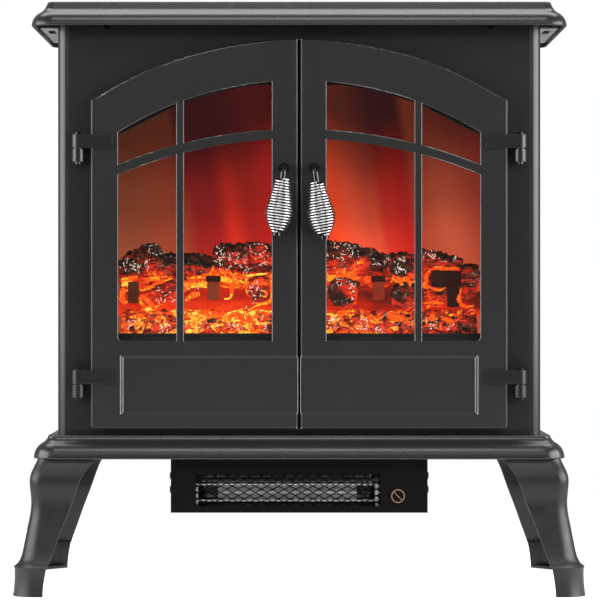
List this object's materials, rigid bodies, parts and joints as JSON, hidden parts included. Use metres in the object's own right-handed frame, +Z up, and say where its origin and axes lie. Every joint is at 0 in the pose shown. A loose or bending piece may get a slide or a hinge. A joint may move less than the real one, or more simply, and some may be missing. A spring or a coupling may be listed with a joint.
{
  "type": "electric fireplace",
  "caption": "Free-standing electric fireplace stove with arched glazed doors, glowing logs, splayed legs and a fan heater under its base.",
  "frame": {"origin": "on the floor, midway between the four feet", "axes": "+X to the right as seen from the front, the doors face -Y, +Z up"},
  "size_m": [0.568, 0.288, 0.59],
  "materials": {
    "case_paint": "satin black powder coat",
    "moulding_paint": "satin charcoal powder coat",
    "door_paint": "satin charcoal powder coat",
    "leg_paint": "satin charcoal powder coat over a casting",
    "heater_paint": "matt black",
    "zinc": "zinc-coated sheet",
    "firebox_paint": "matt black",
    "pane": "clear tempered glass",
    "flame_diffuser": "translucent, lit from behind",
    "embers": "translucent, lit from below",
    "log_resin": "charred bark, lit through in places",
    "lamp": "lit lamp",
    "circuit": "circuit board",
    "black_plastic": "moulded",
    "red_plastic": "moulded",
    "motor_steel": "stamped",
    "aluminium": "bare",
    "mirror_foil": "polished foil",
    "bright_spring": "polished wire",
    "black_steel": "black oxide",
    "plain_steel": "plated",
    "magnet": "magnet in a plastic holder"
  },
  "bodies": {
    "stove": {"top_panel": "moulding_paint", "overhang_plates": "zinc", "base_panel": "moulding_paint", "floor_plate": "zinc", "front_fascia": "case_paint", "left_side_panel": "case_paint", "right_side_panel": "case_paint", "back_panel": "case_paint", "door_magnets": "magnet", "cord_gland": "black_plastic", "case_screws": "black_steel", "firebox_floor": "firebox_paint", "firebox_walls": "firebox_paint", "firebox_ceiling": "firebox_paint", "flame_screen": "flame_diffuser", "ember_bed": "embers", "log_set": "log_resin", "led_board": "circuit", "led_lamps": "lamp", "flame_motor": "motor_steel", "shaft_bearings": "black_plastic", "control_panel": "case_paint", "control_bodies": "black_plastic", "switch_housings": "black_plastic", "control_board": "circuit", "heater_housing": "heater_paint", "heater_grille": "heater_paint", "heating_element": "aluminium", "blower_scroll": "zinc", "blower_motor": "motor_steel", "thermal_cutout": "aluminium", "leg_bolts": "plain_steel", "hinge_brackets": "case_paint", "hinge_pins": "black_steel", "leg_front_left": "leg_paint", "leg_front_right": "leg_paint", "leg_rear_left": "leg_paint", "leg_rear_right": "leg_paint"},
    "left_door": {"left_door_frame": "door_paint", "left_door_glass": "pane", "left_glass_clips": "plain_steel", "left_hinge_straps": "case_paint", "left_handle_rod": "black_steel", "left_handle_coil": "bright_spring", "left_handle_nut": "plain_steel"},
    "right_door": {"right_door_frame": "door_paint", "right_door_glass": "pane", "right_glass_clips": "plain_steel", "right_hinge_straps": "case_paint", "right_handle_rod": "black_steel", "right_handle_coil": "bright_spring", "right_handle_nut": "plain_steel"},
    "thermostat": {"thermostat_knob": "black_plastic"},
    "flame_dimmer": {"flame_knob": "black_plastic"},
    "power_switch": {"power_rocker": "red_plastic"},
    "low_heat_switch": {"low_heat_rocker": "black_plastic"},
    "high_heat_switch": {"high_heat_rocker": "black_plastic"},
    "flicker": {"flame_spindle": "mirror_foil"},
    "fan": {"blower_rotor": "aluminium"}
  },
  "joints": [
    {"name": "left_door_hinge", "type": "hinge", "parent": "stove", "child": "left_door", "pos_m": [-0.2204, -0.1093, 0.3215], "axis": [0, 0, -1], "range_deg": [0, 110]},
    {"name": "right_door_hinge", "type": "hinge", "parent": "stove", "child": "right_door", "pos_m": [0.2204, -0.1093, 0.3215], "axis": [0, 0, 1], "range_deg": [0, 110]},
    {"name": "thermostat_turn", "type": "hinge", "parent": "stove", "child": "thermostat", "pos_m": [-0.058, -0.094, 0.2057], "axis": [0, 1, 0], "range_deg": [0, 270]},
    {"name": "flame_dimmer_turn", "type": "hinge", "parent": "stove", "child": "flame_dimmer", "pos_m": [-0.026, -0.094, 0.2057], "axis": [0, 1, 0], "range_deg": [0, 270]},
    {"name": "power_rock", "type": "hinge", "parent": "stove", "child": "power_switch", "pos_m": [0.008, -0.0835, 0.2057], "axis": [-1, 0, 0], "range_deg": [0, 16]},
    {"name": "low_heat_rock", "type": "hinge", "parent": "stove", "child": "low_heat_switch", "pos_m": [0.034, -0.0835, 0.2057], "axis": [-1, 0, 0], "range_deg": [0, 16]},
    {"name": "high_heat_rock", "type": "hinge", "parent": "stove", "child": "high_heat_switch", "pos_m": [0.06, -0.0835, 0.2057], "axis": [-1, 0, 0], "range_deg": [0, 16]},
    {"name": "flicker_spin", "type": "hinge", "parent": "stove", "child": "flicker", "pos_m": [0, 0.036, 0.3017], "axis": [1, 0, 0], "continuous": true},
    {"name": "fan_spin", "type": "hinge", "parent": "stove", "child": "fan", "pos_m": [0, -0.046, 0.1075], "axis": [1, 0, 0], "continuous": true}
  ]
}
